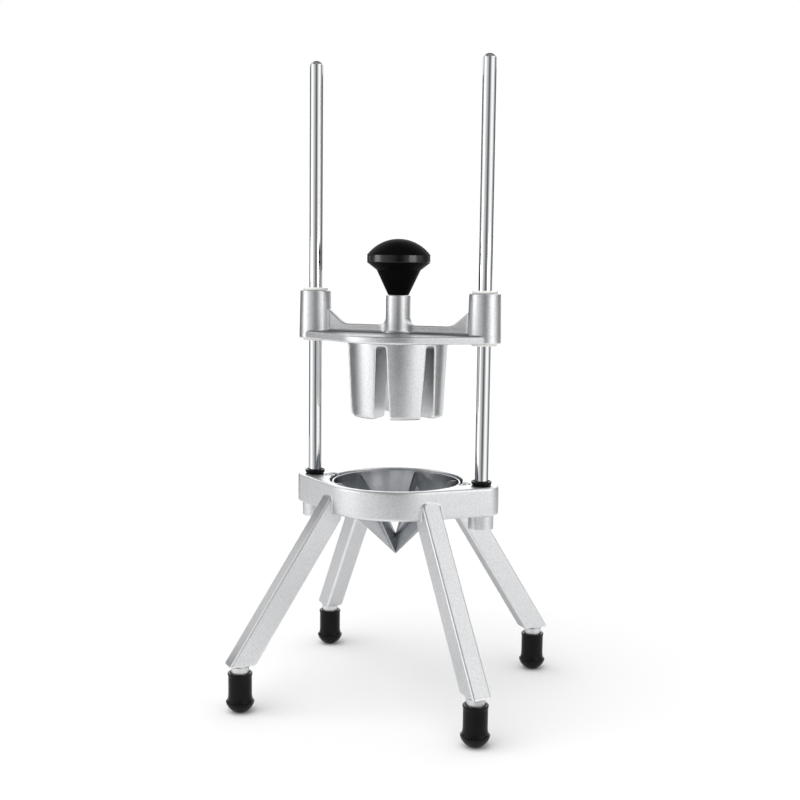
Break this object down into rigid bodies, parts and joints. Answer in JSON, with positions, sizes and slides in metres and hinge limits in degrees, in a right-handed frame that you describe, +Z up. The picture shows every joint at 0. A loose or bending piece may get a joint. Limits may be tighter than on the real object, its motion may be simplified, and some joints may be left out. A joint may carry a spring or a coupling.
{
  "type": "push-down wedge cutter",
  "caption": "Free-standing push-down wedge cutter: a knobbed pusher with slotted fingers slides on guide rods and presses food through a ring of slanted blades on a legged cast stand.",
  "frame": {"origin": "on the floor, below the middle of the blade ring", "axes": "+Z up along the pusher's slide, X through the two guide rods, -Y to the front"},
  "size_m": [0.203, 0.1954, 0.4812],
  "materials": {
    "cast_aluminium": "bead-blasted casting, satin",
    "blade_steel": "ground stainless sheet",
    "rod_chrome": "polished hard chrome",
    "black_rubber": "moulded, matte to satin",
    "white_nylon": "turned nylon",
    "knob_phenolic": "moulded phenolic, polished",
    "fastener_steel": "bright zinc-plated steel"
  },
  "bodies": {
    "stand": {"base_frame": "cast_aluminium", "blade_ring": "blade_steel", "blade_ring_screws": "fastener_steel", "blade_front": "blade_steel", "blade_front_right": "blade_steel", "blade_back_right": "blade_steel", "blade_back": "blade_steel", "blade_back_left": "blade_steel", "blade_front_left": "blade_steel", "guide_rod_left": "rod_chrome", "guide_rod_right": "rod_chrome", "rod_screws": "fastener_steel", "rod_bumper_left": "black_rubber", "rod_bumper_right": "black_rubber", "foot_front_left": "black_rubber", "foot_front_right": "black_rubber", "foot_back_left": "black_rubber", "foot_back_right": "black_rubber"},
    "pusher": {"pusher_carriage": "cast_aluminium", "finger_block": "cast_aluminium", "finger_block_screw": "fastener_steel", "finger_block_dowels": "fastener_steel", "bushing_upper_left": "white_nylon", "bushing_upper_right": "white_nylon", "bushing_lower_left": "white_nylon", "bushing_lower_right": "white_nylon", "knob": "knob_phenolic", "knob_stud": "fastener_steel"}
  },
  "joints": [
    {"name": "pusher_slide", "type": "slide", "parent": "stand", "child": "pusher", "axis": [0, 0, 1], "range_m": [-0.1008, 0.165]}
  ]
}
